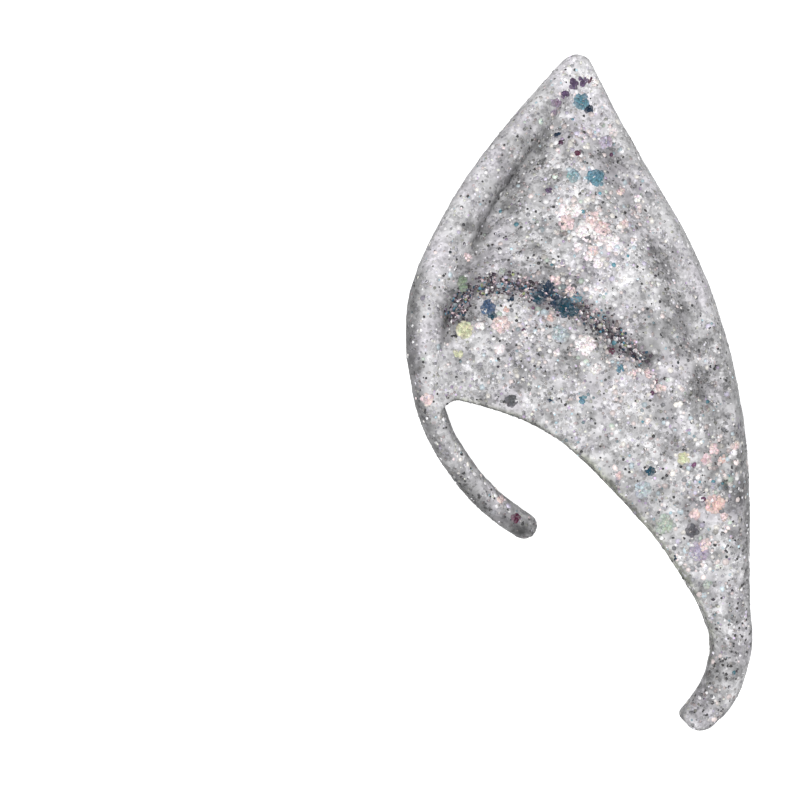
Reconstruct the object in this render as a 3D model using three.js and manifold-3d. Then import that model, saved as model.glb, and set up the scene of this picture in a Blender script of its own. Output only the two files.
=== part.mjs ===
// Elf ear tip: a moulded latex cap that slips over the top of a wearer's ear, lying on its back.
// It is one casting: a hollow pointed shell, open along its cut edge, with a rolled front rim that runs on
// as a slim hook, a softer rear rim, a fold across the face and a curled tail.
// Millimetres. X runs from the front rim to the rear edge, Y up to the point, Z from the back to the face.

import * as THREE from "three";
import { mergeVertices } from "three/addons/utils/BufferGeometryUtils.js";
import Module from "manifold-3d";

// Overall sizes
const LENGTH = 120; // tail to point
const WIDTH = 61.4; // front rim to rear edge
const DEPTH = 16; // back to face where the shell is deepest, without what is modelled on the face
const WALL = 1.7; // latex shell

// Rounding of the shell's edges
const FACE_ROUND = 5; // how far in from the outline the face reaches its full height
const BACK_ROUND = 12; // the same for the back, which is domed
const EDGE_BAND = 0.5; // half height of the nearly upright band along the outline
const RIM_SEAT = 0.84; // height of the outline under the front rim, as a share of the local depth

// Relief of the face
const REAR_ROLL_RISE = 1.6; // crest of the rear rim over the face
const REAR_ROLL_WIDTH = 6.2; // outline to the groove beside the rear rim
const ROLL_SHARE = 0.26; // nearly the same as a share of the shell's width, where the shell is narrow
const GROOVE_DEPTH = 1.4;
const HOLLOW_DEPTH = 2.6; // dip of the face beside the front rim
const HOLLOW_REACH = 8; // how far that dip runs on over the face
const RIDGE_RISE = 1.5; // soft ridge down the middle of the upper face
const RIDGE_REACH = 8;
const FOLD_DROP = 3.2; // step down below the fold

// Front rim and hook
const RIM_THICKNESS = 7.3; // rolled rim along the front of the shell
const HOOK_THICKNESS = 4.8; // hook past the cut edge
const ROOT_SWELL = 0.5; // how much taller the hook is where it leaves the shell, as a share

// Fineness of the surface
const SECTION_STEP = 2.5; // along the shell
const RIM_STEP = 2.2; // along the rim and hook
const FRONT_COLUMNS = 4; // across the face under the front rim
const MIDDLE_COLUMNS = 12; // across the middle of the face
const REAR_COLUMNS = 9; // across the rear rim and its groove
const BACK_COLUMNS = 12;
const INNER_COLUMNS = 12;
const RIM_SIDES = 14;
const END_RINGS = 3; // rings that round an end of the rim or hook

// Outline of the shell as it is cast, a row for each cross-section from the point down to the end of the
// tail. It is cast on below the cut edge, and trimmed along that edge afterwards. A section runs from the
// front to the rear edge and is bowed up towards the point, so that one section lies along the fold. X is a
// share of WIDTH, Y and bow are shares of LENGTH, from the middle of the ear.
const OUTLINE = [
  { frontX: -0.007, frontY: 0.5, rearX: -0.003, rearY: 0.5, bow: 0 },
  { frontX: -0.033, frontY: 0.495, rearX: 0.024, rearY: 0.495, bow: 0 },
  { frontX: -0.053, frontY: 0.486, rearX: 0.037, rearY: 0.486, bow: 0 },
  { frontX: -0.09, frontY: 0.465, rearX: 0.059, rearY: 0.463, bow: 0.001 },
  { frontX: -0.151, frontY: 0.43, rearX: 0.096, rearY: 0.424, bow: 0.003 },
  { frontX: -0.228, frontY: 0.383, rearX: 0.159, rearY: 0.365, bow: 0.009 },
  { frontX: -0.297, frontY: 0.336, rearX: 0.234, rearY: 0.298, bow: 0.02 },
  { frontX: -0.358, frontY: 0.289, rearX: 0.303, rearY: 0.236, bow: 0.038 },
  { frontX: -0.409, frontY: 0.242, rearX: 0.361, rearY: 0.171, bow: 0.059 },
  { frontX: -0.455, frontY: 0.195, rearX: 0.409, rearY: 0.101, bow: 0.082 },
  { frontX: -0.479, frontY: 0.161, rearX: 0.45, rearY: 0.015, bow: 0.116 },
  { frontX: -0.491, frontY: 0.139, rearX: 0.477, rearY: -0.07, bow: 0.14 },
  { frontX: -0.496, frontY: 0.121, rearX: 0.489, rearY: -0.165, bow: 0.156 },
  { frontX: -0.499, frontY: 0.088, rearX: 0.49, rearY: -0.2, bow: 0.152 },
  { frontX: -0.498, frontY: 0.058, rearX: 0.49, rearY: -0.218, bow: 0.132 },
  { frontX: -0.489, frontY: 0.026, rearX: 0.49, rearY: -0.233, bow: 0.108 },
  { frontX: -0.465, frontY: -0.028, rearX: 0.49, rearY: -0.249, bow: 0.079 },
  { frontX: -0.43, frontY: -0.075, rearX: 0.49, rearY: -0.261, bow: 0.063 },
  { frontX: -0.37, frontY: -0.12, rearX: 0.49, rearY: -0.27, bow: 0.056 },
  { frontX: -0.29, frontY: -0.157, rearX: 0.49, rearY: -0.279, bow: 0.047 },
  { frontX: -0.2, frontY: -0.187, rearX: 0.491, rearY: -0.288, bow: 0.038 },
  { frontX: -0.105, frontY: -0.213, rearX: 0.493, rearY: -0.296, bow: 0.029 },
  { frontX: -0.01, frontY: -0.237, rearX: 0.493, rearY: -0.304, bow: 0.022 },
  { frontX: 0.085, frontY: -0.262, rearX: 0.494, rearY: -0.313, bow: 0.015 },
  { frontX: 0.175, frontY: -0.285, rearX: 0.495, rearY: -0.322, bow: 0.009 },
  { frontX: 0.26, frontY: -0.306, rearX: 0.497, rearY: -0.332, bow: 0.004 },
  { frontX: 0.333, frontY: -0.33, rearX: 0.499, rearY: -0.345, bow: 0 },
  { frontX: 0.374, frontY: -0.352, rearX: 0.501, rearY: -0.366, bow: 0 },
  { frontX: 0.379, frontY: -0.382, rearX: 0.496, rearY: -0.389, bow: 0 },
  { frontX: 0.365, frontY: -0.412, rearX: 0.483, rearY: -0.415, bow: 0 },
  { frontX: 0.335, frontY: -0.442, rearX: 0.458, rearY: -0.449, bow: 0 },
  { frontX: 0.307, frontY: -0.46, rearX: 0.419, rearY: -0.477, bow: 0 },
  { frontX: 0.288, frontY: -0.472, rearX: 0.382, rearY: -0.495, bow: 0 },
  { frontX: 0.294, frontY: -0.48, rearX: 0.352, rearY: -0.5, bow: 0 },
  { frontX: 0.306, frontY: -0.486, rearX: 0.329, rearY: -0.497, bow: 0 },
];
const LAST_SECTION = OUTLINE.length - 1;
const FOLD_LIP = 12; // the section along the top of the fold; the next one is its foot
const CROTCH = 16; // where the cut edge begins, beside the front rim
const MOUTH_END = 24.4; // where the hollow ends and the solid tail begins
const HOLLOW_START = 4.6; // where the hollow closes towards the point
const HOLLOW_TAPER = 1.4; // sections over which the hollow opens out from each of its ends
const RELIEF_START = 0.06; // where the rear rim starts to fade towards the tail, as a share of LENGTH
const RELIEF_END = -0.2; // where it has gone

// Course of the cut edge to the tail, as shares of WIDTH and LENGTH. It begins on the crest of the hook and
// turns off it in a fillet.
const CUT_EDGE = [
  { x: -0.426, y: -0.037 },
  { x: -0.404, y: -0.03 },
  { x: -0.388, y: -0.02 },
  { x: -0.371, y: -0.0135 },
  { x: -0.345, y: -0.0115 },
  { x: -0.257, y: -0.023 },
  { x: -0.162, y: -0.04 },
  { x: -0.073, y: -0.064 },
  { x: 0.013, y: -0.099 },
  { x: 0.082, y: -0.135 },
  { x: 0.167, y: -0.181 },
  { x: 0.243, y: -0.228 },
  { x: 0.303, y: -0.275 },
  { x: 0.347, y: -0.313 },
  { x: 0.374, y: -0.352 },
];

// The other corners of the piece that is trimmed off: beyond the casting, and then inside the front rim.
const TRIM_CORNERS = [
  { x: 0.2, y: -0.44 },
  { x: -0.52, y: -0.44 },
  { x: -0.52, y: -0.004 },
  { x: -0.43, y: -0.008 },
];

// Heights of the face and the back at even steps from the point to the end of the tail, as shares of DEPTH.
const DEPTHS = [
  { face: 0.34, back: 0.13 },
  { face: 0.51, back: 0.08 },
  { face: 0.66, back: 0.04 },
  { face: 0.8, back: 0.01 },
  { face: 0.91, back: 0 },
  { face: 0.96, back: 0 },
  { face: 0.91, back: 0 },
  { face: 0.77, back: 0 },
  { face: 0.59, back: 0 },
  { face: 0.46, back: 0 },
  { face: 0.41, back: 0 },
];

// Course of the front rim from the point to the crotch and on as the hook. x and y are shares of WIDTH and
// LENGTH, height is that of its middle as a share of DEPTH, and roll is 1 where it has the rim's full
// thickness and 0 where it has the hook's.
const RIM = [
  { x: -0.006, y: 0.478, height: 0.245, roll: -0.05 },
  { x: -0.056, y: 0.442, height: 0.32, roll: 0.35 },
  { x: -0.134, y: 0.395, height: 0.394, roll: 0.7 },
  { x: -0.214, y: 0.345, height: 0.475, roll: 0.85 },
  { x: -0.292, y: 0.289, height: 0.556, roll: 0.95 },
  { x: -0.348, y: 0.236, height: 0.63, roll: 1 },
  { x: -0.403, y: 0.177, height: 0.7, roll: 1 },
  { x: -0.431, y: 0.118, height: 0.76, roll: 0.95 },
  { x: -0.441, y: 0.07, height: 0.8, roll: 0.8 },
  { x: -0.439, y: 0.026, height: 0.81, roll: 0.5 },
  { x: -0.431, y: -0.017, height: 0.81, roll: 0.15 },
  { x: -0.399, y: -0.062, height: 0.71, roll: 0.02 },
  { x: -0.345, y: -0.107, height: 0.53, roll: 0 },
  { x: -0.278, y: -0.149, height: 0.35, roll: 0 },
  { x: -0.199, y: -0.183, height: 0.21, roll: 0 },
  { x: -0.157, y: -0.197, height: 0.165, roll: 0 },
];
const HOOK_ROOT = 10; // the row of the rim's course where the hook leaves the shell

const mix = THREE.MathUtils.lerp;
const fade = THREE.MathUtils.smoothstep;
const clamp01 = (value) => THREE.MathUtils.clamp(value, 0, 1);
const bell = (distance, reach) => Math.exp(-((distance / reach) ** 2));

// One column of a table at a place between its rows, on a smooth curve through them.
function between(rows, column, place) {
  const at = (row) => rows[THREE.MathUtils.clamp(row, 0, rows.length - 1)][column];
  const row = THREE.MathUtils.clamp(Math.floor(place), 0, rows.length - 2);
  const t = clamp01(place - row);
  const [a, b, c, d] = [at(row - 1), at(row), at(row + 1), at(row + 2)];
  return b + 0.5 * t * (c - a + t * (2 * a - 5 * b + 4 * c - d + t * (3 * (b - c) + d - a)));
}

// A smooth curve through points given as shares of the ear's width and length.
const curveThrough = (rows, x, y) =>
  new THREE.CatmullRomCurve3(rows.map((row) => new THREE.Vector3(row[x] * WIDTH, row[y] * LENGTH, 0)));
const frontEdge = curveThrough(OUTLINE, "frontX", "frontY");
const rearEdge = curveThrough(OUTLINE, "rearX", "rearY");
const rimCurve = curveThrough(RIM, "x", "y");

// Places along a table of rows, close enough together that none of the curves moves on by more than step.
function placesAlong(curves, lastRow, step) {
  const places = [];
  for (let row = 0; row < lastRow; row += 1) {
    const lengths = curves.map((curve) =>
      curve.getPoint(row / lastRow).distanceTo(curve.getPoint((row + 1) / lastRow)),
    );
    const parts = Math.max(1, Math.round(Math.max(...lengths) / step));
    for (let part = 0; part < parts; part += 1) places.push(row + part / parts);
  }
  return [...places, lastRow];
}

// How high the fold lifts the face above it, or drops it below, as a share of FOLD_DROP.
function foldAt(place, share) {
  const past = place - FOLD_LIP;
  const lift = 0.5 * Math.cos(Math.PI * clamp01(past));
  const fading = past < 0 ? bell(past, 2.2) : bell(Math.max(0, past - 1), 2.2);
  return lift * fading * (1 - fade(share, 0.5, 0.88));
}

// Relief of the face over its plain height, from how far a point lies from the two edges.
function reliefAt(place, y, share, fromFront, fromRear, width) {
  const size = Math.tanh((ROLL_SHARE * width) / REAR_ROLL_WIDTH);
  const rollWidth = size * REAR_ROLL_WIDTH;
  const roll = size * REAR_ROLL_RISE * bell(fromRear - 0.4 * rollWidth, 0.42 * rollWidth);
  const groove = size * GROOVE_DEPTH * bell(fromRear - 1.15 * rollWidth, 0.45 * rollWidth);
  const rear = (roll - groove) * fade(place, 1, 3) * fade(y / LENGTH, RELIEF_END, RELIEF_START);

  const upper = size * fade(place, 1, 4);
  const dip = HOLLOW_DEPTH * (1 - fade(place, 9, FOLD_LIP + 1)) * bell(fromFront - FACE_ROUND, HOLLOW_REACH);
  const ridgeShare = 0.5 + 0.052 * Math.max(0, place - 7);
  const fromRidge = (share - ridgeShare) * width;
  const ridge = RIDGE_RISE * (1 - fade(place, FOLD_LIP, CROTCH)) * bell(fromRidge, RIDGE_REACH);
  const fold = FOLD_DROP * foldAt(place, share) * fade(fromFront, 1.5, 6);
  return rear + upper * (ridge - dip + fold);
}

// The way inward from an edge at a section, and how squarely the section meets that edge, up to 1.
function edgeAt(edge, place, inwardTurn, across) {
  const tangent = edge.getTangent(place / LAST_SECTION);
  const inward = new THREE.Vector3(-tangent.y, tangent.x, 0).multiplyScalar(inwardTurn);
  return { inward, lean: Math.max(0.35, Math.abs(across.clone().normalize().dot(inward))) };
}

// A closed ring of points round the shell at a section: over the face to the rear edge and back underneath.
// With inside true it is the ring of the hollow there, a wall's thickness in.
function ringAt(place, inside) {
  const t = place / LAST_SECTION;
  const front = frontEdge.getPoint(t);
  const rear = rearEdge.getPoint(t);
  const chord = rear.clone().sub(front);
  const frontSide = edgeAt(frontEdge, place, 1, chord);
  const rearSide = edgeAt(rearEdge, place, -1, chord);
  const openFrom = (distance) => (inside ? Math.sqrt(clamp01(distance / HOLLOW_TAPER + 0.06)) : 1);
  const openAtPoint = openFrom(place - HOLLOW_START);
  const open = Math.min(openAtPoint, openFrom(MOUTH_END - place));
  const thinner = inside ? WALL : 0;
  const frontInset = thinner + (1 - openAtPoint) * 0.3 * chord.length();
  const rearInset = thinner + (1 - open) * 0.3 * chord.length();
  front.addScaledVector(frontSide.inward, frontInset);
  rear.addScaledVector(rearSide.inward, rearInset);

  const across = rear.clone().sub(front);
  const width = across.length();
  const frontWidth = width * frontSide.lean;
  const rearWidth = width * rearSide.lean;
  const seat = mix(0.5, RIM_SEAT, fade(place, 1, 9) * (1 - fade(place, CROTCH, CROTCH + 2)));
  const bow = between(OUTLINE, "bow", place) * LENGTH;
  const ends = Math.min(place / 1.6 + 0.12, (LAST_SECTION - place) / 2 + 0.25);
  const full = risen(clamp01(ends), 1);

  const pointAt = (share, onFace) => {
    const point = front.clone().addScaledVector(across, share);
    point.y += bow * Math.sin(Math.PI * share);
    const depthPlace = (0.5 - point.y / LENGTH) * (DEPTHS.length - 1);
    const face = between(DEPTHS, "face", depthPlace) * DEPTH;
    const back = Math.max(0, between(DEPTHS, "back", depthPlace)) * DEPTH;
    const floor = back + thinner;
    const ceiling = face - thinner;
    const edge = mix(floor, ceiling, mix(seat, 0.5, fade(share, 0.2, 0.8)));
    const round = (onFace ? FACE_ROUND : BACK_ROUND) - thinner;
    const riseFrom = (distance, span) => risen(distance, Math.min(round, 0.5 * span));
    const rise = riseFrom(share * frontWidth, frontWidth) * riseFrom((1 - share) * rearWidth, rearWidth);
    const risenHere = rise * full * open;
    const band = Math.min(EDGE_BAND, 0.1 * (face - back));
    if (onFace) {
      const fromFront = share * frontWidth + frontInset;
      const fromRear = (1 - share) * rearWidth + rearInset;
      const relief = reliefAt(place, point.y, share, fromFront, fromRear, width);
      point.z = mix(edge + band, ceiling + (inside ? Math.min(0, relief) : relief), risenHere);
    } else {
      point.z = mix(edge - band, floor, risenHere);
    }
    return point;
  };

  const faceShares = inside ? evenShares(INNER_COLUMNS) : faceSharesFor(frontWidth, rearWidth);
  const backShares = evenShares(inside ? INNER_COLUMNS : BACK_COLUMNS).reverse();
  return [
    ...faceShares.map((share) => pointAt(share, true)),
    ...backShares.map((share) => pointAt(share, false)),
  ];
}

// How far a surface has risen from its edge, from 0 at the edge to 1 once it is a rounding's width away.
function risen(distance, round) {
  const short = 1 - clamp01(distance / round);
  return Math.sqrt(1 - short * short);
}

// Shares of a section's width, from 0 to 1, closer together towards both edges.
function evenShares(columns) {
  return Array.from({ length: columns + 1 }, (_, column) => {
    const even = column / columns;
    return mix(even, 0.5 - 0.5 * Math.cos(Math.PI * even), 0.8);
  });
}

// Shares for the face: narrow columns under the front rim and along the rear rim, wider ones between.
function faceSharesFor(frontWidth, rearWidth) {
  const frontBand = Math.min(FACE_ROUND / frontWidth, 0.2);
  const rearBand = Math.min((1.6 * REAR_ROLL_WIDTH) / rearWidth, 0.4);
  const spread = (from, to, columns) =>
    Array.from({ length: columns }, (_, column) => mix(from, to, column / columns));
  return [
    ...spread(0, 1, FRONT_COLUMNS).map((share) => frontBand * share ** 1.4),
    ...spread(frontBand, 1 - rearBand, MIDDLE_COLUMNS),
    ...spread(0, 1, REAR_COLUMNS).map((share) => 1 - rearBand * (1 - share) ** 1.3),
    1,
  ];
}

// A closed surface through rings of points, each end closed on the middle of its last ring.
function loft(rings) {
  const count = rings[0].length;
  const middle = (ring) =>
    ring.reduce((sum, point) => sum.add(point), new THREE.Vector3()).divideScalar(count);
  const points = [...rings.flat(), middle(rings[0]), middle(rings[rings.length - 1])];
  const [startPole, endPole] = [points.length - 2, points.length - 1];
  const lastRing = (rings.length - 1) * count;
  const faces = [];
  for (let side = 0; side < count; side += 1) {
    const next = (side + 1) % count;
    faces.push(startPole, side, next, endPole, lastRing + next, lastRing + side);
    for (let base = 0; base < lastRing; base += count) {
      faces.push(base + side, base + count + side, base + next);
      faces.push(base + next, base + count + side, base + count + next);
    }
  }
  const geometry = new THREE.BufferGeometry().setFromPoints(points);
  geometry.setIndex(faces);
  return geometry;
}

const shellPlaces = placesAlong([frontEdge, rearEdge], LAST_SECTION, SECTION_STEP);

// The outside of the shell and tail as cast, without the hollow.
const shellOutside = () => loft(shellPlaces.map((place) => ringAt(place, false)));

// The hollow that takes the wearer's ear, through the piece that is trimmed off.
function hollow() {
  const middle = shellPlaces.filter((place) => place > HOLLOW_START + 0.1 && place < MOUTH_END - 0.1);
  return loft([HOLLOW_START, ...middle, MOUTH_END].map((place) => ringAt(place, true)));
}

// The piece below the cut edge that is trimmed off, as high as it needs to be to pass through the shell.
function trimmedPiece() {
  const [start, ...edge] = CUT_EDGE.map(({ x, y }) => new THREE.Vector2(x * WIDTH, y * LENGTH));
  const shape = new THREE.Shape().moveTo(start.x, start.y).splineThru(edge);
  for (const { x, y } of TRIM_CORNERS) shape.lineTo(x * WIDTH, y * LENGTH);
  const piece = new THREE.ExtrudeGeometry(shape, { depth: 3 * DEPTH, bevelEnabled: false, curveSegments: 3 });
  return piece.translate(0, 0, -DEPTH).deleteAttribute("normal").deleteAttribute("uv");
}

// The rolled front rim and the hook: a round cord of changing thickness, with rounded ends.
function rimAndHook() {
  const lastRow = RIM.length - 1;
  const spine = placesAlong([rimCurve], lastRow, RIM_STEP).map((place) => {
    const radius = 0.5 * mix(HOOK_THICKNESS, RIM_THICKNESS, between(RIM, "roll", place));
    const tallness = 1 + ROOT_SWELL * bell(place - HOOK_ROOT, 1.2);
    const middle = rimCurve.getPoint(place / lastRow);
    middle.z = Math.max(between(RIM, "height", place) * DEPTH - (tallness - 1) * radius, radius);
    return { middle, radius, tallness };
  });
  const roundAt = (index, reach, share) => {
    const { middle, radius, tallness } = spine[index];
    const before = spine[Math.max(index - 1, 0)].middle;
    const after = spine[Math.min(index + 1, spine.length - 1)].middle;
    const along = after.clone().sub(before).normalize();
    const side = along.clone().cross(new THREE.Vector3(0, 0, 1)).normalize();
    const up = side.clone().cross(along);
    const centre = middle.clone().addScaledVector(along, reach * radius);
    return Array.from({ length: RIM_SIDES }, (_, corner) => {
      const angle = (2 * Math.PI * corner) / RIM_SIDES;
      return centre
        .clone()
        .addScaledVector(side, share * radius * Math.cos(angle))
        .addScaledVector(up, share * radius * tallness * Math.sin(angle));
    });
  };
  const rings = spine.map((_, index) => roundAt(index, 0, 1));
  for (let ring = 1; ring <= END_RINGS; ring += 1) {
    const angle = (0.5 * Math.PI * ring) / (END_RINGS + 0.4);
    rings.unshift(roundAt(0, -Math.sin(angle), Math.cos(angle)));
    rings.push(roundAt(spine.length - 1, Math.sin(angle), Math.cos(angle)));
  }
  return loft(rings);
}

const wasm = await Module();
wasm.setup();

// A closed geometry as a solid that can be joined and cut.
function solidOf(geometry) {
  const merged = mergeVertices(geometry, 1e-4);
  return new wasm.Manifold(
    new wasm.Mesh({
      numProp: 3,
      vertProperties: merged.attributes.position.array,
      triVerts: new Uint32Array(merged.index.array),
    }),
  );
}

// A joined solid as a geometry again.
function geometryOf(solid) {
  const mesh = solid.getMesh();
  const geometry = new THREE.BufferGeometry();
  geometry.setAttribute("position", new THREE.BufferAttribute(mesh.vertProperties, 3));
  geometry.setIndex(new THREE.BufferAttribute(mesh.triVerts, 1));
  geometry.computeVertexNormals();
  return geometry;
}

const shell = solidOf(shellOutside()).subtract(solidOf(hollow())).subtract(solidOf(trimmedPiece()));
const casting = geometryOf(shell.add(solidOf(rimAndHook())));

// The origin is under the middle of the ear, on the surface that it lies on.
casting.computeBoundingBox();
const box = casting.boundingBox;
casting.translate(-0.5 * (box.min.x + box.max.x), -0.5 * (box.min.y + box.max.y), -box.min.z);

const latex = new THREE.MeshStandardMaterial({ color: 0xb4b3b8, roughness: 0.35, metalness: 0.25 });
const earTip = new THREE.Mesh(casting, latex);
earTip.name = "ear_tip";

const ear = new THREE.Group();
ear.add(earTip);

export default ear;
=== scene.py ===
"""Looks of the elf ear tip: soft silver-grey latex, thick with glitter, lying on a pale studio floor.

The casting's fine surface is made from the frame's own solid, so it stays where that solid is. Glitter,
flakes and clusters of foil are thin plates half sunk into it. Metres, and tables in millimetres. X runs from
the front rim to the rear edge, Y up to the point, Z from the back to the face.
"""

import math

import bmesh
import bpy
import numpy as np
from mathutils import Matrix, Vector, noise
from mathutils.bvhtree import BVHTree


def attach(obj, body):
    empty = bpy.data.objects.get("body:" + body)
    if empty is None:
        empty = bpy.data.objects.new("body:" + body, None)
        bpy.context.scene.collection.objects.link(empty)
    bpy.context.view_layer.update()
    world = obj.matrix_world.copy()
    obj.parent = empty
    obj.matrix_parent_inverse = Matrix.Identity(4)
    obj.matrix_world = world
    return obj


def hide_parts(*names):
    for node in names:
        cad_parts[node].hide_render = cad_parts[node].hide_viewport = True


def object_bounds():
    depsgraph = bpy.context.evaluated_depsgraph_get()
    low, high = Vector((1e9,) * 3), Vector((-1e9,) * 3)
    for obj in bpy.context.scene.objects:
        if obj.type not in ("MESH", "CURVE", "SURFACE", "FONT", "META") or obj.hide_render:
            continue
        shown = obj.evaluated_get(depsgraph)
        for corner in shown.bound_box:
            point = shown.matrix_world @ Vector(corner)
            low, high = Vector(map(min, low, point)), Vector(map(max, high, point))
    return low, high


MM = 0.001

# Fine surface of the casting
WELD = 0.001 * MM
VOXEL = 0.5 * MM
SMOOTHING_STEPS = [0.5, -0.52]  # in and out again, so that smoothing doesn't shrink it
SMOOTHING_ROUNDS = 14
SPREAD_STEPS = [0.5]
SPREAD_ROUNDS = 160  # after these, a place's height over its surroundings tells dip or crest
DIP_DEPTH = 0.9 * MM  # depth that counts as a full dip
LUMPS = [  # size and height of the unevenness of poured latex
    (2.6 * MM, 0.09 * MM),
    (0.9 * MM, 0.04 * MM),
]

# How light the latex is painted, from 0, black, to 1, white, and how its surroundings change that, with
# painted shade on sides, in dips, creases and along the fold, and painted highlights on the rims
PLAIN_TONE = 0.675
# Painted shade in dips; crests are made a little darker too
PAINTED_DIP_SHADE = -0.02
CREST_TONE = -0.02
PAINTED_SIDE_SHADE = -0.27
SLOPE_RAMP = (0.25, 0.85)  # one less the normal's upward part, where the painted shade on a side starts and is darkest
UNDERSIDE_RAMP = (-0.8, -0.2)  # the normal's upward part, from undersides, which are plain, to sides
FACE_RAMP = (0.0, 0.3)  # the normal's upward part, from sides to the face
SPOT_TONE = 0.05
MILK_TONE = 0.06
DARKEST = 0.03
CLOUDS = [  # size of the cloudy patches and how much they change the tone
    (9 * MM, 0.03),
    (3.6 * MM, 0.04),
    (1.5 * MM, 0.045),
]
NOISE_SPREAD = 0.28  # usual size of the values that noise.noise gives
MILK_SIZE = 5 * MM  # patches where the glitter sank into milky latex
MILK_RAMP = (0.3, 1.5)
MILK_SHIFT = 0.1  # keeps the milky patches apart from the clouds
PATCH_MILK = 0.5
RIM_MILK = 0.3
RIM_CALM = 0.7  # share of the clouds that the rims go without
LILAC_SIZE = 6 * MM
LILAC_RAMP = (-0.5, 1.5)
LILAC_SHIFT = 0.3
GREY_GAMMA = 2.2
TINT = np.array([1.005, 0.992, 1.005])  # of the latex, as red, green and blue against grey
OLIVE_TINT = np.array([-0.02, 0.03, -0.16])
LILAC_TINT = np.array([0.0, -0.025, 0.015])

# Lighter and darker spots of the face: x, y, reach, and how much lighter or darker
SPOTS = [
    (10.0, 22.0, 8.0, 1.3),
    (2.0, 48.0, 5.0, 1.2),
    (0.0, 0.0, 9.0, 0.5),
    (24.0, -46.0, 11.0, -0.6),
    (-19.0, -14.0, 7.0, -0.6),
    (-9.6, -23.4, 3.5, -2.4),
    (26.0, -14.0, 9.0, -3.0),
    (-1.0, 54.5, 5.0, 2.0),
    (16.3, 5.0, 2.5, -1.0),
    (19.5, 8.0, 2.5, 0.9),
    (-8.2, 42.4, 1.6, -1.0),
    (-13.3, 37.5, 1.6, -1.0),
    (-17.9, 28.7, 1.6, -0.9),
    (-11.9, 31.3, 2.1, -0.5),
    (-15.8, 24.3, 2.1, -0.5),
    (-18.6, 19.0, 1.6, -0.9),
    (-11.0, 19.3, 1.4, -0.6),
    (-3.1, 47.9, 1.6, 0.7),
    (2.7, 34.3, 1.2, 0.6),
    (-17.0, 41.9, 1.4, 0.5),
    (-18.4, 35.7, 1.4, 0.5),
    (-22.0, 31.9, 1.4, 0.5),
    (2.0, 41.6, 1.1, -0.6),
    (5.9, 38.9, 1.4, -0.6),
    (6.4, 31.5, 1.2, -0.5),
    (12.3, 30.1, 1.4, -0.6),
    (12.8, 24.3, 2.1, -0.3),
    (4.7, 10.1, 1.8, -1.1),
    (10.1, 6.1, 1.6, -1.0),
    (-3.4, 15.8, 1.6, -0.7),
    (-14.0, 15.6, 1.4, -0.6),
    (6.1, 19.3, 2.5, 0.7),
    (-1.7, 27.8, 2.5, 0.5),
    (7.9, 42.8, 1.2, 0.5),
    (10.9, 32.9, 1.2, 0.4),
    (13.7, 8.4, 1.4, 0.5),
    (8.4, -6.3, 2.5, 0.7),
    (2.9, -7.9, 2.1, 0.5),
    (-7.0, 1.7, 1.8, 0.4),
    (16.9, 22.1, 1.2, 0.5),
    (19.9, 15.6, 1.2, 0.4),
    (-20.6, 2.9, 1.6, -0.5),
    (11.0, -15.6, 1.2, 0.5),
    (14.4, -24.3, 1.6, 0.4),
    (19.5, -24.3, 1.1, -0.8),
    (23.0, -15.8, 1.9, -0.5),
    (20.6, -27.6, 1.6, 0.5),
    (29.2, -23.0, 0.9, -0.8),
    (26.4, -38.9, 1.1, -0.6),
    (27.8, -46.0, 1.4, 0.4),
    (23.9, -54.3, 1.1, 0.5),
    (21.4, -56.7, 1.2, 0.5),
    (28.3, -51.4, 0.9, -0.8),
    (19.1, -56.6, 0.9, -0.6),
    (-22.5, -8.0, 1.2, 0.8),
    (-20.6, -11.0, 1.2, 0.9),
    (-18.4, -13.7, 1.2, 0.9),
    (-16.3, -16.5, 1.2, 0.8),
]

# Where the face is darker or lighter along a line: its corners, reach and change of tone. The fold, the
# creases and the front edge get painted shade, the rims a painted highlight, the cut an olive line
FOLD_LINE = [
    (-22.5, 12.8),
    (-20.2, 17.0),
    (-15.8, 18.8),
    (-10.5, 18.6),
    (-5.2, 16.6),
    (0.1, 13.9),
    (5.4, 9.9),
    (10.7, 5.5),
]
# Painted shade along the fold
FOLD_REACH = 2.4
PAINTED_FOLD_SHADE = -0.24
CUT_LINE = [
    (-21.5, -1.4),
    (-10.0, -4.8),
    (0.8, -11.9),
    (10.2, -21.7),
    (18.6, -33.0),
    (22.9, -42.2),
    (22.9, -47.0),
]
CUT_REACH = 0.7
CUT_TONE = -0.10
FRONT_RIM_LINE = [
    (-1.2, 57.8),
    (-11.4, 48.1),
    (-18.5, 38.4),
    (-23.8, 27.8),
    (-26.4, 19.0),
    (-27.3, 9.3),
    (-26.6, 0.5),
    (-23.6, -7.5),
    (-17.4, -16.0),
]
REAR_RIM_LINE = [
    (1.4, 56.9),
    (8.0, 45.5),
    (15.1, 32.2),
    (20.4, 20.8),
    (23.0, 14.0),
]
# The rims get a painted highlight along their crests, and milkier latex
RIM_REACH = 3.0
PAINTED_RIM_HIGHLIGHT = 0.08
FRONT_CREASE_LINE = [
    (-3.0, 50.5),
    (-5.6, 44.6),
    (-9.4, 38.5),
    (-13.4, 32.5),
    (-16.6, 27.0),
    (-19.6, 21.0),
    (-22.3, 14.6),
]
REAR_CREASE_LINE = [
    (6.2, 41.9),
    (12.4, 26.9),
    (17.7, 12.8),
    (20.4, 2.2),
    (22.1, -4.8),
]
# Painted shade in the creases inside the two rims
CREASE_REACH = 3.2
PAINTED_FRONT_CREASE_SHADE = -0.08
PAINTED_REAR_CREASE_SHADE = -0.05
FRONT_EDGE_LINE = [
    (-29.3, 20.0),
    (-29.9, 9.3),
    (-29.1, 2.2),
    (-27.7, -4.8),
    (-24.6, -11.0),
    (-20.2, -16.7),
    (-14.9, -21.6),
    (-11.0, -24.4),
]
# Painted shade on the outer side of the front rim
FRONT_EDGE_REACH = 1.6
PAINTED_FRONT_EDGE_SHADE = -0.18

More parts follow.
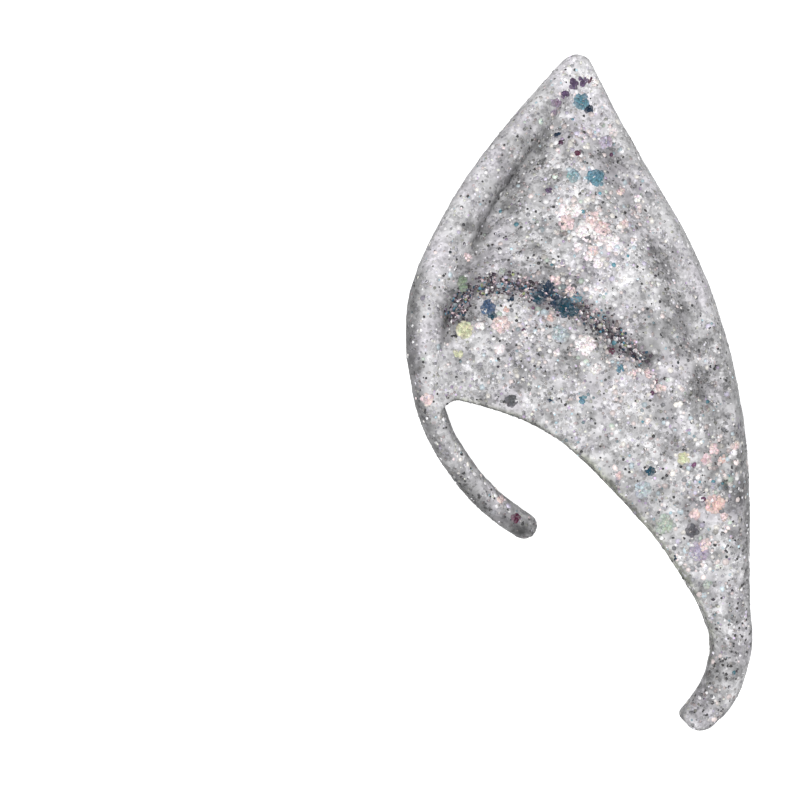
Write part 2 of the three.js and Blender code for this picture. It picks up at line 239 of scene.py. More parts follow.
# Tints of the glitter, as red, green and blue against grey, and how common each is
GLITTER_TINTS = [
    ((1.005, 0.992, 1.005), 9.0),
    ((0.99, 0.96, 1.05), 4.0),
    ((1.04, 0.99, 0.96), 2.5),
    ((1.12, 0.94, 0.95), 1.3),
    ((1.0, 1.0, 0.88), 1.2),
    ((1.05, 0.84, 1.18), 0.4),
    ((0.75, 1.0, 1.1), 0.4),
]
FLAKE_COLOURS = [
    ((0.95, 0.83, 0.81), 4.5),
    ((0.95, 0.91, 0.85), 3.0),
    ((1.00, 0.98, 0.99), 6.0),
    ((0.74, 0.69, 0.84), 1.2),
    ((0.68, 0.78, 0.83), 1.2),
    ((0.72, 0.82, 0.72), 0.6),
    ((0.16, 0.38, 0.46), 0.2),
    ((0.24, 0.10, 0.20), 0.1),
    ((0.36, 0.36, 0.38), 1.5),
]
# Where the larger flakes gathered: x, y, reach and how thickly
FLAKE_DRIFTS = [
    (2.0, 29.0, 7.0, 1.0),
    (-3.0, 18.5, 4.0, 0.7),
    (-10.0, 10.0, 6.0, 0.6),
    (5.0, 8.0, 5.0, 0.6),
    (12.0, -2.0, 6.0, 0.5),
    (23.5, -14.0, 6.0, 1.0),
    (2.0, 42.0, 6.0, 0.5),
    (20.0, -28.0, 5.0, 0.5),
]
# Where more of the glitter is dark: x, y, reach and share
DARK_DRIFTS = [
    (29.0, -15.0, 5.0, 0.10),
    (29.5, -28.0, 5.0, 0.20),
    (29.5, -40.0, 5.0, 0.20),
    (26.0, -48.0, 5.0, 0.20),
    (21.0, -56.0, 4.0, 0.16),
    (-28.5, -6.0, 4.0, 0.16),
    (-23.5, -14.0, 4.0, 0.16),
    (-16.0, -20.0, 4.0, 0.20),
    (-15.0, 25.0, 6.0, 0.05),
]
DARK_SHARE = 0.05
MILKLESS = 0.2  # where that many more are dark, none sank into the latex
DARK_TONE = 0.25
# A share of the glitter is painted near-white, standing in for glints
GLINT_SHARE = 0.06
PAINTED_GLINT_TONE = 0.9

CLUSTER_COLOURS = {
    "teal": (0.11, 0.25, 0.32),
    "pale_teal": (0.26, 0.39, 0.44),
    "navy": (0.010, 0.030, 0.060),
    "deep_teal": (0.012, 0.060, 0.090),
    "blue": (0.06, 0.11, 0.20),
    "plum": (0.09, 0.01, 0.04),
    "violet": (0.10, 0.06, 0.13),
    "mauve": (0.27, 0.21, 0.28),
    "lilac": (0.44, 0.39, 0.50),
    "pale_blue": (0.50, 0.56, 0.59),
    "mint": (0.43, 0.48, 0.42),
    "green": (0.21, 0.27, 0.19),
    "yellow": (0.66, 0.66, 0.44),
    "pink": (0.80, 0.63, 0.62),
    "salmon": (0.74, 0.52, 0.47),
    "white": (1.00, 0.90, 0.90),
    "grey": (0.10, 0.10, 0.11),
}
CLUSTER_FADE = 0.5  # how far a cluster's colours fade to the latex's at its edge
LATEX_COLOUR = np.array([0.44, 0.42, 0.44])
# Colours of the many small flakes in the fold, and how common each is
FOLD_COLOURS = [
    ((0.03, 0.02, 0.03), 4.0),
    ((0.08, 0.06, 0.08), 3.0),
    ((0.15, 0.11, 0.12), 2.0),
    ((0.02, 0.06, 0.10), 2.0),
    ((0.30, 0.26, 0.30), 3.0),
    ((0.10, 0.26, 0.34), 1.0),
    ((0.66, 0.50, 0.52), 1.5),
    ((0.80, 0.76, 0.76), 1.0),
    ((0.30, 0.34, 0.16), 0.4),
]
FOLD_FLAKES = 900
FOLD_SPREAD = 1.0  # usual distance of a flake from the fold's line
# Clusters of foil that show on the face: x, y, width and colour
CLUSTERS = [
    (0.3, 51.4, 2.6, "teal"),
    (1.6, 49.9, 1.4, "navy"),
    (-1.2, 54.4, 1.6, "violet"),
    (0.6, 55.0, 1.5, "violet"),
    (-2.8, 52.6, 1.4, "violet"),
    (-4.2, 51.0, 1.5, "mauve"),
    (-4.6, 49.4, 1.1, "mauve"),
    (1.9, 55.2, 0.9, "plum"),
    (2.6, 54.8, 1.2, "white"),
    (-4.0, 45.4, 1.0, "navy"),
    (-0.4, 42.0, 1.2, "plum"),
    (4.4, 44.0, 2.0, "lilac"),
    (5.8, 45.9, 1.3, "white"),
    (-1.4, 37.9, 1.9, "pale_teal"),
    (2.6, 37.6, 3.0, "teal"),
    (-5.6, 35.4, 1.0, "violet"),
    (6.9, 35.4, 1.3, "pink"),
    (9.9, 34.0, 1.2, "white"),
    (-3.0, 32.0, 1.8, "white"),
    (-2.6, 29.7, 2.4, "pink"),
    (0.6, 28.0, 3.0, "white"),
    (3.6, 28.6, 2.4, "pink"),
    (3.0, 26.6, 1.6, "white"),
    (1.8, 24.8, 1.8, "pink"),
    (-1.0, 31.8, 2.0, "white"),
    (1.8, 30.4, 2.2, "pink"),
    (5.2, 26.4, 2.2, "white"),
    (2.6, 22.6, 1.5, "white"),
    (7.4, 29.6, 1.4, "pink"),
    (-0.6, 25.4, 1.5, "white"),
    (-20.0, 23.6, 1.3, "pink"),
    (-20.9, 19.4, 1.5, "green"),
    (-20.7, 18.2, 1.2, "green"),
    (-14.0, 21.1, 1.1, "mint"),
    (-3.3, 22.6, 1.0, "lilac"),
    (1.2, 23.4, 1.3, "white"),
    (-4.6, 19.4, 1.6, "pink"),
    (-2.2, 17.6, 1.6, "pink"),
    (-6.2, 17.8, 3.0, "navy"),
    (-7.6, 16.6, 2.2, "deep_teal"),
    (-4.4, 16.0, 2.0, "navy"),
    (-3.0, 14.8, 3.3, "deep_teal"),
    (-1.6, 14.2, 1.6, "deep_teal"),
    (-1.2, 16.4, 1.6, "teal"),
    (-12.4, 16.4, 1.0, "navy"),
    (-16.4, 14.9, 2.4, "blue"),
    (-15.6, 13.4, 1.2, "deep_teal"),
    (-14.1, 11.9, 2.8, "pink"),
    (-13.2, 14.6, 1.1, "salmon"),
    (-20.4, 10.9, 2.7, "yellow"),
    (-17.7, 11.6, 1.3, "white"),
    (-21.6, 6.8, 1.4, "yellow"),
    (-5.5, 13.1, 1.2, "salmon"),
    (-3.8, 10.2, 2.6, "pale_blue"),
    (0.6, 8.3, 3.2, "white"),
    (-4.5, 6.9, 1.1, "white"),
    (-14.3, 7.7, 1.6, "white"),
    (2.3, 4.2, 1.6, "white"),
    (5.2, 7.2, 1.0, "plum"),
    (0.1, -1.2, 1.2, "teal"),
    (6.7, 4.1, 1.3, "teal"),
    (8.9, 3.6, 1.2, "pink"),
    (11.4, 3.2, 1.4, "pink"),
    (12.6, 2.0, 0.9, "plum"),
    (13.6, 0.9, 1.3, "pink"),
    (-5.6, -1.3, 0.9, "navy"),
    (-12.4, -1.5, 1.8, "grey"),
    (-27.0, -1.2, 1.8, "pink"),
    (22.9, -9.9, 1.6, "pink"),
    (21.6, -11.6, 1.6, "pink"),
    (24.4, -11.6, 1.3, "salmon"),
    (26.6, -9.2, 1.3, "pink"),
    (17.6, -11.4, 1.9, "yellow"),
    (11.8, -13.6, 1.4, "deep_teal"),
    (10.5, -16.9, 2.6, "pale_blue"),
    (23.2, -19.4, 3.0, "salmon"),
    (19.8, -21.2, 1.7, "pink"),
    (24.8, -21.7, 1.3, "pink"),
    (14.6, -23.0, 3.2, "mint"),
    (19.4, -24.2, 2.0, "grey"),
    (20.6, -27.8, 3.0, "lilac"),
    (21.6, -26.6, 1.8, "pink"),
    (22.2, -33.6, 1.3, "mint"),
    (16.4, -28.9, 0.8, "navy"),
    (6.3, -14.4, 1.2, "pink"),
    (-11.2, -22.2, 1.4, "plum"),
    (-13.8, -18.9, 1.3, "pink"),
]

# Plates, lengths in millimetres: thickness, how far they stand out, sides, and how far they lean at random
GLITTER_PLATE = (0.07, 0.02, 5, 0.08)
FLAKE_PLATE = (0.09, 0.05, 6, 0.07)
CLUSTER_PLATE = (0.12, 0.05, 6, 0.06)
FOLD_PLATE = (0.08, 0.03, 5, 0.1)
RAGGED = (0.75, 1.1)  # least and greatest share of its radius that a corner of a plate has
UV_RADIUS = 0.3  # of a plate in its cell of the texture map

GLITTER = 9000  # plates a piece
GLITTER_WIDTHS = (0.3, 0.75)
GLITTER_SPREAD = 0.09  # of the tones
GLITTER_DARKEST = 0.08
GLITTER_SUNK = 0.85  # share of the glitter that milky latex hides
FLAKES = 2300
FLAKE_WIDTH = 0.55
FLAKE_EXTRA = 0.75  # what the widest flakes have on top of that
FLAKE_SHARE = 0.08  # how thickly flakes lie away from the drifts
FLAKE_SUNK = 0.8
FLAKE_SHADE = 1.1
FLAKE_SPREAD = 0.15
FLAKE_SHADES = (0.1, 1.05)
FLAKES_IN_CLUSTER = 9  # for a cluster 1 mm wide
FEWEST_IN_CLUSTER = 5
CLUSTER_FLAKE = (0.9, 0.6)  # widest flake, and its share of a small cluster's width
CLUSTER_WIDTHS = (0.55, 1.15)
CLUSTER_SHADES = (0.65, 1.3)
CLUSTER_TINTS = (0.92, 1.08)
FADED_SHARE = 0.12  # of a cluster's flakes that fade wherever they lie
FADED_BY = 0.5
FOLD_WIDTHS = (0.3, 0.8)
FOLD_SHADES = (0.7, 1.2)
SIDE_SHARE = 0.3  # how thickly glitter lies on the sides, against the face
RESTING_HEIGHT = 0.3 * MM  # no glitter lies lower
SEED = 7

# Specks of the latex: cell sizes, and greys that multiply its tone, by stops of position and grey
SPECK_SIZE = 0.5 * MM
SPECK_STOPS = [(0.0, 0.45), (0.12, 0.72), (0.5, 0.96), (0.9, 1.1), (1.0, 1.3)]
GRAIN_SIZE = 0.95 * MM
GRAIN_STOPS = [(0.0, 0.7), (0.4, 0.95), (1.0, 1.2)]
SPARSE_SIZE = 0.62 * MM
SPARSE_STOPS = [(0.0, 0.3), (0.05, 0.35), (0.07, 1.0), (0.97, 1.0), (1.0, 1.3)]
SPECK_LEAN = 0.3
LATEX_ROUGHNESS = 0.45
LATEX_GLOSS = 0.3
MOTTLE_SIZE = 0.5 * MM
MOTTLE_STOPS = [(0.35, 0.8), (0.65, 1.0)]
FOIL_ROUGHNESS = 0.4

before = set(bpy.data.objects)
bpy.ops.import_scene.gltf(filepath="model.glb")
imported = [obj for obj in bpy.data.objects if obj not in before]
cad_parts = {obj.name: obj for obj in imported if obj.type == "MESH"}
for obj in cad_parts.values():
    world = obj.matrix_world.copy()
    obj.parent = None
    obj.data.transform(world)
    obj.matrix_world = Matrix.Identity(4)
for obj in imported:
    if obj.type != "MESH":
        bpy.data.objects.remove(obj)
cad_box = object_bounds()


# Meshes


def remeshed(node, name):
    """An even, fine copy of a node's closed surface, as an object of its own."""
    mesh = node.data.copy()
    welded = bmesh.new()
    welded.from_mesh(mesh)
    bmesh.ops.remove_doubles(welded, verts=welded.verts, dist=WELD)
    welded.to_mesh(mesh)
    welded.free()
    mesh.materials.clear()
    piece = bpy.data.objects.new(name, mesh)
    bpy.context.scene.collection.objects.link(piece)
    remesh = piece.modifiers.new("even", "REMESH")
    remesh.mode = "VOXEL"
    remesh.voxel_size = VOXEL
    bpy.context.view_layer.update()
    shown = piece.evaluated_get(bpy.context.evaluated_depsgraph_get())
    fine = bpy.data.meshes.new_from_object(shown)
    piece.modifiers.clear()
    piece.data = fine
    bpy.data.meshes.remove(mesh)
    return piece


def points_of(mesh):
    points = np.empty(len(mesh.vertices) * 3)
    mesh.vertices.foreach_get("co", points)
    return points.reshape(-1, 3)


def normals_of(mesh):
    normals = np.empty(len(mesh.vertices) * 3)
    mesh.vertex_normals.foreach_get("vector", normals)
    return normals.reshape(-1, 3)


def set_points(mesh, points):
    mesh.vertices.foreach_set("co", points.ravel())
    mesh.update()


def edges_of(mesh):
    edges = np.empty(len(mesh.edges) * 2, int)
    mesh.edges.foreach_get("vertices", edges)
    return edges.reshape(-1, 2)


def smoothed(points, edges, rounds, steps):
    """Points moved towards, or away from, the middle of their neighbours by each of the steps in turn."""
    here = np.concatenate([edges[:, 0], edges[:, 1]])
    there = np.concatenate([edges[:, 1], edges[:, 0]])
    count = np.bincount(here, minlength=len(points))
    for step in steps * rounds:
        middle = [np.bincount(here, points[there, axis], len(points)) / count for axis in range(3)]
        points = points + step * (np.stack(middle, axis=1) - points)
    return points


def noise_at(points, size):
    """Smooth noise of that size at each point, usually between -1 and 1."""
    return np.array([noise.noise(Vector(point)) for point in points / size]) / NOISE_SPREAD


def bell(distance, reach):
    return np.exp(-((distance / reach) ** 2))


def ramped(values, start, end):
    return np.clip((values - start) / (end - start), 0, 1)


def drifted(points, drifts, plain):
    """How thickly something lies at each point: plainly, and more so round the places of a table."""
    share = np.full(len(points), plain)
    for x, y, reach, more in drifts:
        share += more * bell(np.hypot(points[:, 0] - x * MM, points[:, 1] - y * MM), reach * MM)
    return share


def beside(points, line, reach):
    """How near each point lies, seen from above, to a line of corners: 1 on it, fading past its reach."""
    flat = points[:, :2] / MM
    nearest = np.full(len(points), np.inf)
    for start, end in zip(np.array(line[:-1]), np.array(line[1:])):
        along = end - start
        share = np.clip((flat - start) @ along / (along @ along), 0, 1)
        nearest = np.minimum(nearest, np.linalg.norm(flat - start - share[:, None] * along, axis=1))
    return bell(nearest, reach)


def tone_of(points, normals, dips):
    """How light the latex is painted at each point, painted shade and highlights included, and how olive and
    how milky it is.
    """
    upward = normals[:, 2]
    # Painted shade: sides darker the more they turn away from the face
    slope = ramped(1 - upward, *SLOPE_RAMP) * ramped(upward, *UNDERSIDE_RAMP)
    tone = PLAIN_TONE + PAINTED_SIDE_SHADE * slope
    # Painted shade in dips, and crests a little darker
    tone += PAINTED_DIP_SHADE * np.clip(dips, 0, 1) + CREST_TONE * np.clip(-dips, 0, 1)
    on_face = ramped(upward, *FACE_RAMP)
    front_rim = beside(points, FRONT_RIM_LINE, RIM_REACH)
    rear_rim = beside(points, REAR_RIM_LINE, RIM_REACH)
    rim = np.maximum(front_rim, rear_rim) * on_face
    for size, change in CLOUDS:
        tone += change * noise_at(points, size) * (1 - RIM_CALM * rim)
    for x, y, reach, change in SPOTS:
        away = np.hypot(points[:, 0] - x * MM, points[:, 1] - y * MM)
        tone += SPOT_TONE * change * bell(away, reach * MM) * on_face
    olive = beside(points, CUT_LINE, CUT_REACH)
    # Olive line along the cut; painted highlight on the rims
    tone += CUT_TONE * olive + PAINTED_RIM_HIGHLIGHT * rim
    # Painted shade along the fold
    tone += PAINTED_FOLD_SHADE * beside(points, FOLD_LINE, FOLD_REACH)
    # Painted shade in the creases
    tone += PAINTED_FRONT_CREASE_SHADE * beside(points, FRONT_CREASE_LINE, CREASE_REACH)
    tone += PAINTED_REAR_CREASE_SHADE * beside(points, REAR_CREASE_LINE, CREASE_REACH)
    # Painted shade on the outer side of the front rim
    tone += PAINTED_FRONT_EDGE_SHADE * beside(points, FRONT_EDGE_LINE, FRONT_EDGE_REACH)
    patches = ramped(noise_at(points + MILK_SHIFT, MILK_SIZE), *MILK_RAMP)
    milk = np.maximum(RIM_MILK * rim, PATCH_MILK * patches) * (1 - olive)
    milk *= np.clip(1 - drifted(points, DARK_DRIFTS, 0.0) / MILKLESS, 0, 1)
    return tone, olive, milk


def colour_of(tone, olive, lilac):
    """Linear colours for tones, leaning to olive or lilac."""
    grey = np.clip(tone, DARKEST, 1) ** GREY_GAMMA
    tint = TINT + olive[:, None] * OLIVE_TINT + lilac[:, None] * LILAC_TINT
    return grey[:, None] * tint


def add_colours(mesh, name, colours):
    solid = np.concatenate([colours, np.ones((len(colours), 1))], axis=1)
    mesh.color_attributes.new(name, "FLOAT_COLOR", "POINT").data.foreach_set("color", solid.ravel())


class Surface:
    """The casting's fine surface, with its tones, painted shade and highlights included, for glitter to be
    strewn on.
    """

    def __init__(self, mesh, tone, milk):
        mesh.calc_loop_triangles()
        corners = np.empty(len(mesh.loop_triangles) * 3, int)
        mesh.loop_triangles.foreach_get("vertices", corners)
        corners = corners.reshape(-1, 3)
        self.places = points_of(mesh)[corners]
        self.normals = normals_of(mesh)[corners]
        self.tones = tone[corners]
        self.milks = milk[corners]
        across = np.cross(self.places[:, 1] - self.places[:, 0], self.places[:, 2] - self.places[:, 0])
        self.areas = np.linalg.norm(across, axis=1) / 2
        triangles = np.arange(corners.size).reshape(-1, 3).tolist()
        self.tree = BVHTree.FromPolygons(self.places.reshape(-1, 3), triangles)

    def within(self, values, triangles, weights):
        """Values at places inside triangles, from those at their corners."""
        extra = (1,) * (values.ndim - 2)
        return (values[triangles] * weights.reshape(-1, 3, *extra)).sum(axis=1)

    def strewn(self, count, density, random):
        """So many random places, with their normals and tones. density is a share for each triangle."""
        share = self.areas * density
        triangles = random.choice(len(share), count, p=share / share.sum())
        weights = random.dirichlet((1, 1, 1), count)
        normals = self.within(self.normals, triangles, weights)
        return (
            self.within(self.places, triangles, weights),
            normals / np.linalg.norm(normals, axis=1)[:, None],
            self.within(self.tones, triangles, weights),
        )

    def below(self, x, y):
        """The place and normal of the surface straight below a point."""
        place, normal, _, _ = self.tree.ray_cast(Vector((x, y, 2 * cad_box[1][2])), Vector((0, 0, -1)))
        if place is None:
            return None
        return place, normal


def make_casting():
    """The latex casting: the solid's surface, its facets smoothed away and slightly lumpy, and its colours,
    with painted shade and highlights.
    """
    piece = remeshed(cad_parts["ear_tip"], "latex_casting")
    mesh = piece.data
    edges = edges_of(mesh)
    points = smoothed(points_of(mesh), edges, SMOOTHING_ROUNDS, SMOOTHING_STEPS)
    set_points(mesh, points)
    normals = normals_of(mesh)
    spread = smoothed(points, edges, SPREAD_ROUNDS, SPREAD_STEPS)
    dips = np.clip(((spread - points) * normals).sum(axis=1) / DIP_DEPTH, -1, 1)
    tone, olive, milk = tone_of(points, normals, dips)
    lilac = ramped(noise_at(points + LILAC_SHIFT, LILAC_SIZE), *LILAC_RAMP)
    # The base colours hold the painted shade and highlights
    add_colours(mesh, "base", colour_of(tone + MILK_TONE * milk, olive, lilac))
    add_colours(mesh, "milk", np.repeat(milk[:, None], 3, axis=1))

    for size, height in LUMPS:
        points = points + normals * (height * NOISE_SPREAD * noise_at(points, size))[:, None]
    points[:, 2] = np.maximum(points[:, 2], 0.0)
    set_points(mesh, points)
    mesh.polygons.foreach_set("use_smooth", np.ones(len(mesh.polygons), bool))
    return piece, Surface(mesh, tone, milk)


def plates(name, kind, places, normals, widths, colours, random):
    """Thin closed plates of a kind, one at each place, sunk so far that only their lift stands out."""
    thickness, lift, sides, tilt = kind
    count = len(places)
    normals = normals + tilt * random.normal(size=(count, 3))
    normals /= np.linalg.norm(normals, axis=1)[:, None]
    side = np.cross(normals, random.normal(size=(count, 3)))
    side /= np.linalg.norm(side, axis=1)[:, None]
    up = np.cross(normals, side)
    angles = np.arange(sides) * 2 * math.pi / sides
    rim = side[:, None] * np.cos(angles)[:, None] + up[:, None] * np.sin(angles)[:, None]
    ragged = random.uniform(*RAGGED, (count, sides, 1))
    rim = places[:, None] + rim * ragged * (widths[:, None, None] / 2)
    top = rim + normals[:, None] * (lift * MM)
    bottom = top - normals[:, None] * (thickness * MM)
    points = np.concatenate([top, bottom], axis=1).reshape(-1, 3)

    corner = np.arange(sides)
    after = (corner + 1) % sides
    walls = np.stack([corner, corner + sides, after + sides, after], axis=1)
    starts = (np.arange(count) * 2 * sides)[:, None]
    loops = np.concatenate([corner, corner[::-1] + sides, walls.ravel()])
    sizes = np.tile(np.array([sides, sides] + [4] * sides), count)
    mesh = bpy.data.meshes.new(name)
    mesh.vertices.add(len(points))
    mesh.vertices.foreach_set("co", points.ravel())
    mesh.loops.add(count * len(loops))
    mesh.loops.foreach_set("vertex_index", (starts + loops).ravel())
    mesh.polygons.add(len(sizes))
    mesh.polygons.foreach_set("loop_start", np.concatenate([[0], np.cumsum(sizes)[:-1]]))
    mesh.update(calc_edges=True)
    add_colours(mesh, "foil", np.repeat(colours, 2 * sides, axis=0))

    row = math.ceil(math.sqrt(count))
    index = np.arange(count)
    middle = np.stack([index % row, index // row], axis=1) + 0.5
    ring = UV_RADIUS * np.stack([np.cos(angles), np.sin(angles)], axis=1)
    spots = np.concatenate([ring, ring])[loops % (2 * sides)]
    layer = mesh.uv_layers.new(name="OFBake")
    layer.uv.foreach_set("vector", ((middle[:, None] + spots[None]) / row).ravel())
    piece = bpy.data.objects.new(name, mesh)
    bpy.context.scene.collection.objects.link(piece)
    return piece


def picked(palette, count, random):
    """A random colour of the palette for each of so many plates."""
    shares = np.array([share for _, share in palette])
    colours = np.array([colour for colour, _ in palette])
    return colours[random.choice(len(palette), count, p=shares / shares.sum())]


# Materials


def node_of(tree, kind, **settings):
    node = tree.nodes.new("ShaderNode" + kind)
    for name, value in settings.items():
        setattr(node, name, value)
    return node


def link(tree, source, target):
    tree.links.new(source, target)


def cells(tree, place, size):
    """A random number from 0 to 1 for each cell of that size, and the cell's random vector."""
    voronoi = node_of(tree, "TexVoronoi")
    voronoi.inputs["Scale"].default_value = 1 / size
    link(tree, place, voronoi.inputs["Vector"])
    parts = node_of(tree, "SeparateColor")
    link(tree, voronoi.outputs["Color"], parts.inputs["Color"])
    return parts.outputs["Red"], voronoi.outputs["Color"]


def clouds(tree, place, size, detail=2.0):
    """Smooth noise with patches of about that size."""
    noise_node = node_of(tree, "TexNoise")
    noise_node.inputs["Scale"].default_value = 1 / size
    noise_node.inputs["Detail"].default_value = detail
    link(tree, place, noise_node.inputs["Vector"])
    return noise_node.outputs["Fac"]


def ramp(tree, value, stops):
    """A grey for a value, by stops of position and grey."""
    node = node_of(tree, "ValToRGB")
    elements = node.color_ramp.elements
    while len(elements) < len(stops):
        elements.new(0.5)
    for element, (position, grey) in zip(elements, stops):
        element.position = position
        element.color = (grey, grey, grey, 1)
    link(tree, value, node.inputs["Fac"])
    return node.outputs["Color"]


def mixed(tree, kind, factor, first, second):
    """Two colours mixed by a kind of blending. Factor is a number or a socket."""
    node = node_of(tree, "Mix", data_type="RGBA", blend_type=kind)
    inputs = {socket.identifier: socket for socket in node.inputs}
    if isinstance(factor, float):
        inputs["Factor_Float"].default_value = factor
    else:
        link(tree, factor, inputs["Factor_Float"])
    link(tree, first, inputs["A_Color"])
    link(tree, second, inputs["B_Color"])
    return next(socket for socket in node.outputs if socket.identifier == "Result_Color")


def new_material(name):
    material = bpy.data.materials.new(name)
    material.use_nodes = True
    tree = material.node_tree
    return material, tree, tree.nodes["Principled BSDF"]


def turned_normal(tree, vector, amount):
    """The surface's own normal, leaning by a random vector for each speck."""
    away = node_of(tree, "VectorMath", operation="SUBTRACT")
    link(tree, vector, away.inputs[0])
    away.inputs[1].default_value = (0.5, 0.5, 0.5)
    turned = node_of(tree, "VectorMath", operation="SCALE")
    link(tree, away.outputs[0], turned.inputs[0])
    turned.inputs["Scale"].default_value = amount
    summed = node_of(tree, "VectorMath", operation="ADD")
    link(tree, node_of(tree, "NewGeometry").outputs["Normal"], summed.inputs[0])
    link(tree, turned.outputs[0], summed.inputs[1])
    unit = node_of(tree, "VectorMath", operation="NORMALIZE")
    link(tree, summed.outputs[0], unit.inputs[0])
    return unit.outputs[0]


def latex_material():
    """Milky latex full of silver glitter: its painted tones, with painted shade and highlights, speckled at
    three sizes, and glossy.
    """
    material, tree, shader = new_material("glitter_latex")
    place = node_of(tree, "TexCoord").outputs["Object"]
    base = node_of(tree, "Attribute", attribute_name="base").outputs["Color"]
    milk = node_of(tree, "Attribute", attribute_name="milk").outputs["Fac"]
    speck, facing = cells(tree, place, SPECK_SIZE)
    grain, _ = cells(tree, place, GRAIN_SIZE)
    dots, _ = cells(tree, place, SPARSE_SIZE)
    specks = ramp(tree, speck, SPECK_STOPS)
    grains = ramp(tree, grain, GRAIN_STOPS)
    sparse = ramp(tree, dots, SPARSE_STOPS)
    speckled = mixed(tree, "MULTIPLY", 1.0, mixed(tree, "MULTIPLY", 1.0, base, specks), grains)
    milky = mixed(tree, "MULTIPLY", 1.0, base, sparse)
    link(tree, mixed(tree, "MIX", milk, speckled, milky), shader.inputs["Base Color"])
    link(tree, turned_normal(tree, facing, SPECK_LEAN), shader.inputs["Normal"])
    shader.inputs["Roughness"].default_value = LATEX_ROUGHNESS
    shader.inputs["Specular IOR Level"].default_value = LATEX_GLOSS
    return material


def foil_material(name, metallic, gloss):
    """Coloured foil with a faint mottle, its colour painted on each plate."""
    material, tree, shader = new_material(name)
    place = node_of(tree, "TexCoord").outputs["Object"]
    colour = node_of(tree, "Attribute", attribute_name="foil").outputs["Color"]
    mottle = ramp(tree, clouds(tree, place, MOTTLE_SIZE), MOTTLE_STOPS)
    link(tree, mixed(tree, "MULTIPLY", 1.0, colour, mottle), shader.inputs["Base Color"])
    shader.inputs["Metallic"].default_value = metallic
    shader.inputs["Roughness"].default_value = FOIL_ROUGHNESS
    shader.inputs["Specular IOR Level"].default_value = gloss
    return material


# Glitter


def add_piece(piece, material):
    piece.data.materials.append(material)
    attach(piece, "root")


def shown_share(surface):
    """How thickly glitter lies on each triangle: thickest on the face, none on the face that it rests on."""
    places = surface.places.mean(axis=1)
    upward = surface.normals.mean(axis=1)[:, 2]
    return (SIDE_SHARE + np.clip(upward, 0, 1)) * (places[:, 2] > RESTING_HEIGHT)


def make_glitter(surface, random):
    material = foil_material("glitter_foil", 0.05, 0.4)
    density = shown_share(surface) * (1 - GLITTER_SUNK * surface.milks.mean(axis=1))
    for name in ("glitter_a", "glitter_b"):
        places, normals, tones = surface.strewn(GLITTER, density, random)
        widths = random.uniform(*GLITTER_WIDTHS, GLITTER) * MM
        # The glitter takes the latex's tone, painted shade and highlights included
        tones = tones + GLITTER_SPREAD * random.normal(size=GLITTER)
        rare = random.random(GLITTER)
        # Painted glints: a share of the plates near-white
        tones = np.where(rare > 1 - GLINT_SHARE, PAINTED_GLINT_TONE, tones)
        tones = np.where(rare < drifted(places, DARK_DRIFTS, DARK_SHARE), DARK_TONE, tones)
        greys = np.clip(tones, GLITTER_DARKEST, 1) ** GREY_GAMMA
        colours = np.clip(greys[:, None] * picked(GLITTER_TINTS, GLITTER, random), 0, 1)
        add_piece(plates(name, GLITTER_PLATE, places, normals, widths, colours, random), material)


def make_flakes(surface, random):
    places = surface.places.mean(axis=1)
    drift = drifted(places, FLAKE_DRIFTS, FLAKE_SHARE)
    density = shown_share(surface) ** 2 * drift * (1 - FLAKE_SUNK * surface.milks.mean(axis=1))
    places, normals, tones = surface.strewn(FLAKES, density, random)
    widths = (FLAKE_WIDTH + FLAKE_EXTRA * random.random(FLAKES) ** 2) * MM
    # The flakes follow the latex's tone, painted shade and highlights included
    shade = np.clip(FLAKE_SHADE * tones + FLAKE_SPREAD * random.normal(size=FLAKES), *FLAKE_SHADES)
    colours = np.clip(picked(FLAKE_COLOURS, FLAKES, random) * shade[:, None], 0, 1)
    piece = plates("flakes", FLAKE_PLATE, places, normals, widths, colours, random)
    add_piece(piece, foil_material("flake_foil", 0.05, 0.4))


def make_clusters(surface, random):
    """The clusters of foil, each of small overlapping flakes laid on the face straight below their places."""
    places, normals, widths, colours = [], [], [], []
    for x, y, width, colour in CLUSTERS:
        count = max(FEWEST_IN_CLUSTER, round(FLAKES_IN_CLUSTER * width**2))
        flake = min(CLUSTER_FLAKE[0], CLUSTER_FLAKE[1] * width)
        for _ in range(count):
            turn = random.uniform(0, 2 * math.pi)
            out = math.sqrt(random.random())
            away = 0.5 * width * out
            found = surface.below((x + away * math.cos(turn)) * MM, (y + away * math.sin(turn)) * MM)
            shade = random.uniform(*CLUSTER_SHADES) * random.uniform(*CLUSTER_TINTS, 3)
            fade = CLUSTER_FADE * max(out**3, FADED_BY * (random.random() < FADED_SHARE)) * random.random()
            size = flake * random.uniform(*CLUSTER_WIDTHS) * MM
            if found is not None:
                places.append(found[0])
                normals.append(found[1])
                widths.append(size)
                colours.append(np.array(CLUSTER_COLOURS[colour]) * shade * (1 - fade) + LATEX_COLOUR * fade)
    places, normals, widths, colours = map(np.array, (places, normals, widths, colours))
    piece = plates("foil_clusters", CLUSTER_PLATE, places, normals, widths, np.clip(colours, 0, 1), random)
    add_piece(piece, foil_material("cluster_foil", 0.0, 0.2))


